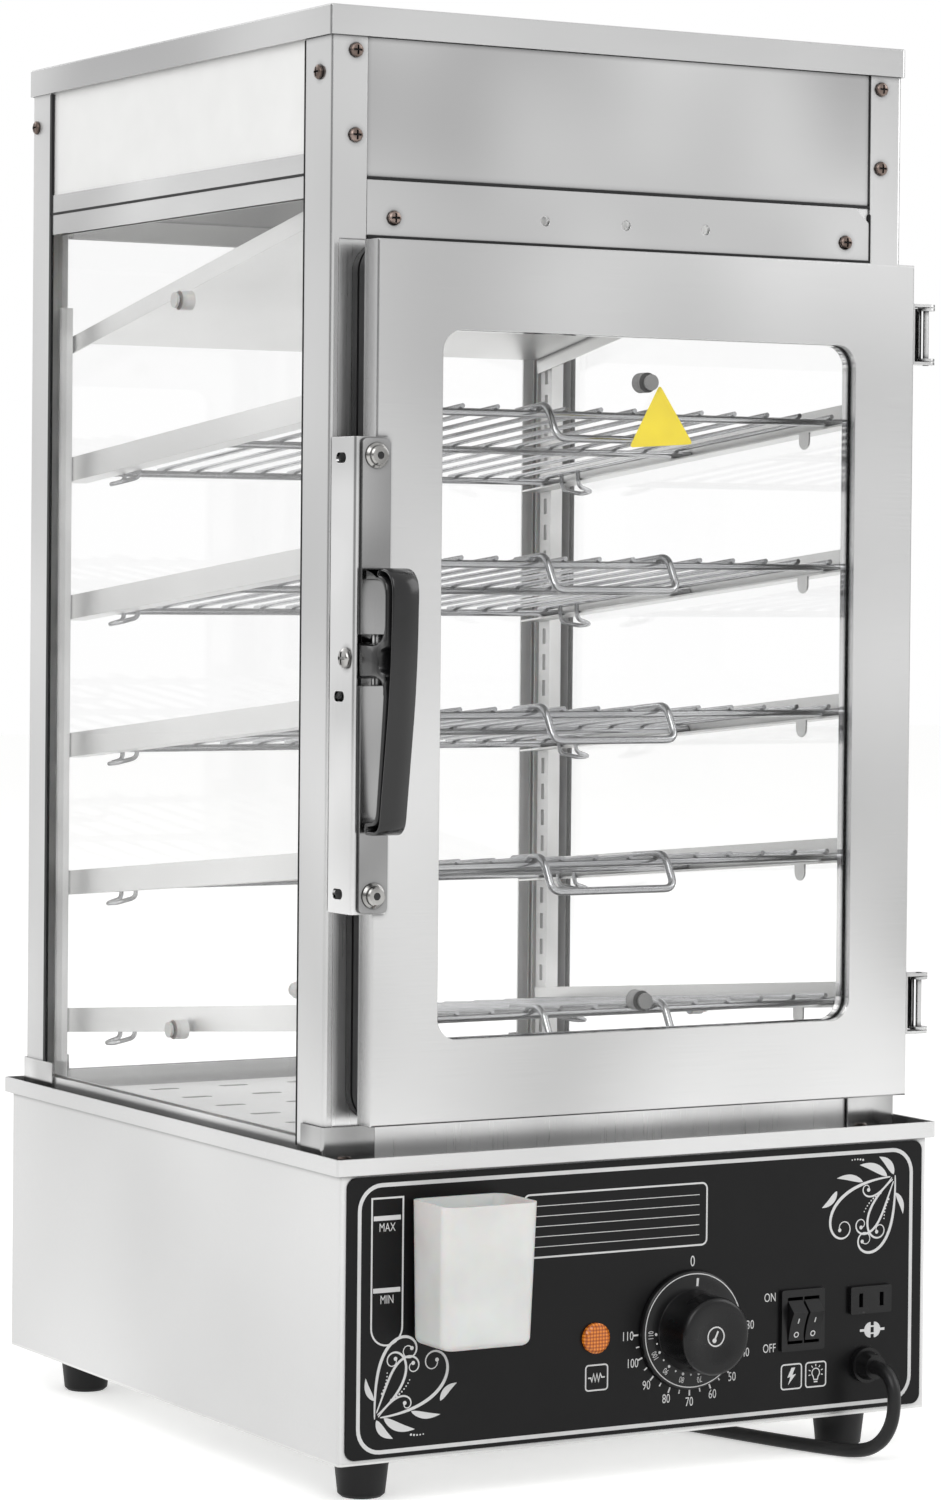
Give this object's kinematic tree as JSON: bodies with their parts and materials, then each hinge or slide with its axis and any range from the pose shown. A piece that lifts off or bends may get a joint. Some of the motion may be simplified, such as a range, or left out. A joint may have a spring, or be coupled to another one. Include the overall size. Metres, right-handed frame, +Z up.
{
  "type": "food steamer",
  "caption": "Countertop steam display cabinet with glazed walls, sloping wire shelves, a latched glass door and a heated water base with front controls.",
  "frame": {"origin": "on the floor under the middle of the object, midway between the front of the filler cup and the mouth of the drain spout, and midway between the rim tray's two sides", "axes": "+X to the right seen from the front, -Y to the front, +Z up"},
  "size_m": [0.348, 0.5594, 0.72],
  "materials": {
    "steel": "brushed",
    "bright_steel": "polished",
    "black_panel": "gloss",
    "black_plastic": "matte",
    "black_rubber": "matte",
    "clear_glass": "clear",
    "opal_plastic": "satin",
    "milky_plastic": "satin",
    "amber_lens": "gloss",
    "brass": "satin",
    "red_plastic": "satin"
  },
  "bodies": {
    "cabinet": {"base_bottom": "steel", "base_shell": "steel", "cabinet_hinges": "bright_steel", "ceiling_baffle": "steel", "control_panel": "black_panel", "cord_coil": "black_rubber", "cord_gland": "black_plastic", "cord_lead": "black_rubber", "door_jamb": "steel", "drain_valve": "brass", "feet": "black_rubber", "filler_cup": "milky_plastic", "filler_pipe": "milky_plastic", "float_guide": "steel", "frame_screws": "bright_steel", "front_posts": "steel", "glass_bushes": "black_rubber", "glass_panes": "clear_glass", "glass_rails": "steel", "glass_seals": "black_rubber", "header_lamp": "opal_plastic", "header_panels": "steel", "heater": "bright_steel", "indicator_lamp": "amber_lens", "latch_keeper": "bright_steel", "outlet_socket": "black_plastic", "plug": "black_plastic", "post_clips": "steel", "rear_posts": "steel", "rim_tray": "steel", "shelf_brackets": "steel", "shelf_standards": "steel", "side_headers": "opal_plastic", "steam_plate": "steel", "switch_body": "black_plastic", "thermostat": "black_plastic", "top_cover": "steel", "vent_strip": "steel", "water_tank": "steel"},
    "door": {"door_front": "steel", "door_back": "steel", "door_glass": "clear_glass", "door_bushes": "black_rubber", "door_gasket": "black_rubber", "door_hinges": "bright_steel", "latch_channel": "bright_steel", "latch_plate": "bright_steel", "latch_screws": "bright_steel", "latch_spring": "bright_steel"},
    "lever": {"latch_lever": "black_plastic"},
    "knob": {"thermostat_knob": "black_plastic"},
    "power_switch": {"power_rocker": "black_plastic"},
    "light_switch": {"light_rocker": "black_plastic"},
    "float": {"float_ball": "bright_steel"},
    "drain_handle": {"drain_lever": "red_plastic"},
    "wire_shelf_1": {"shelf_1": "bright_steel"},
    "wire_shelf_2": {"shelf_2": "bright_steel"},
    "wire_shelf_3": {"shelf_3": "bright_steel"},
    "wire_shelf_4": {"shelf_4": "bright_steel"},
    "wire_shelf_5": {"shelf_5": "bright_steel"}
  },
  "joints": [
    {"name": "door_hinge", "type": "hinge", "parent": "cabinet", "child": "door", "pos_m": [0.1695, -0.184, 0.4008], "axis": [0, 0, 1], "range_deg": [0, 170]},
    {"name": "latch_pivot", "type": "hinge", "parent": "door", "child": "lever", "pos_m": [-0.1567, -0.1848, 0.407], "axis": [-1, 0, 0], "range_deg": [0, 5], "stiffness_Nm_per_rad": 1},
    {"name": "knob_turn", "type": "hinge", "parent": "cabinet", "child": "knob", "pos_m": [0.0268, -0.205, 0.073], "axis": [0, 1, 0], "range_deg": [0, 300]},
    {"name": "power_rock", "type": "hinge", "parent": "cabinet", "child": "power_switch", "pos_m": [0.0886, -0.1928, 0.073], "axis": [-1, 0, 0], "range_deg": [0, 26]},
    {"name": "light_rock", "type": "hinge", "parent": "cabinet", "child": "light_switch", "pos_m": [0.0986, -0.1928, 0.073], "axis": [-1, 0, 0], "range_deg": [0, 26]},
    {"name": "float_slide", "type": "slide", "parent": "cabinet", "child": "float", "axis": [0, 0, 1], "range_m": [0, 0.018]},
    {"name": "drain_turn", "type": "hinge", "parent": "cabinet", "child": "drain_handle", "pos_m": [0.1, 0.2032, 0.108], "axis": [0, 0, -1], "range_deg": [0, 90]},
    {"name": "shelf_1_slide", "type": "slide", "parent": "cabinet", "child": "wire_shelf_1", "axis": [0, -0.9956, 0.0942], "range_m": [0, 0.01]},
    {"name": "shelf_2_slide", "type": "slide", "parent": "cabinet", "child": "wire_shelf_2", "axis": [0, -0.9956, 0.0942], "range_m": [0, 0.01]},
    {"name": "shelf_3_slide", "type": "slide", "parent": "cabinet", "child": "wire_shelf_3", "axis": [0, -0.9956, 0.0942], "range_m": [0, 0.01]},
    {"name": "shelf_4_slide", "type": "slide", "parent": "cabinet", "child": "wire_shelf_4", "axis": [0, -0.9956, 0.0942], "range_m": [0, 0.01]},
    {"name": "shelf_5_slide", "type": "slide", "parent": "cabinet", "child": "wire_shelf_5", "axis": [0, -0.9956, 0.0942], "range_m": [0, 0.01]}
  ]
}
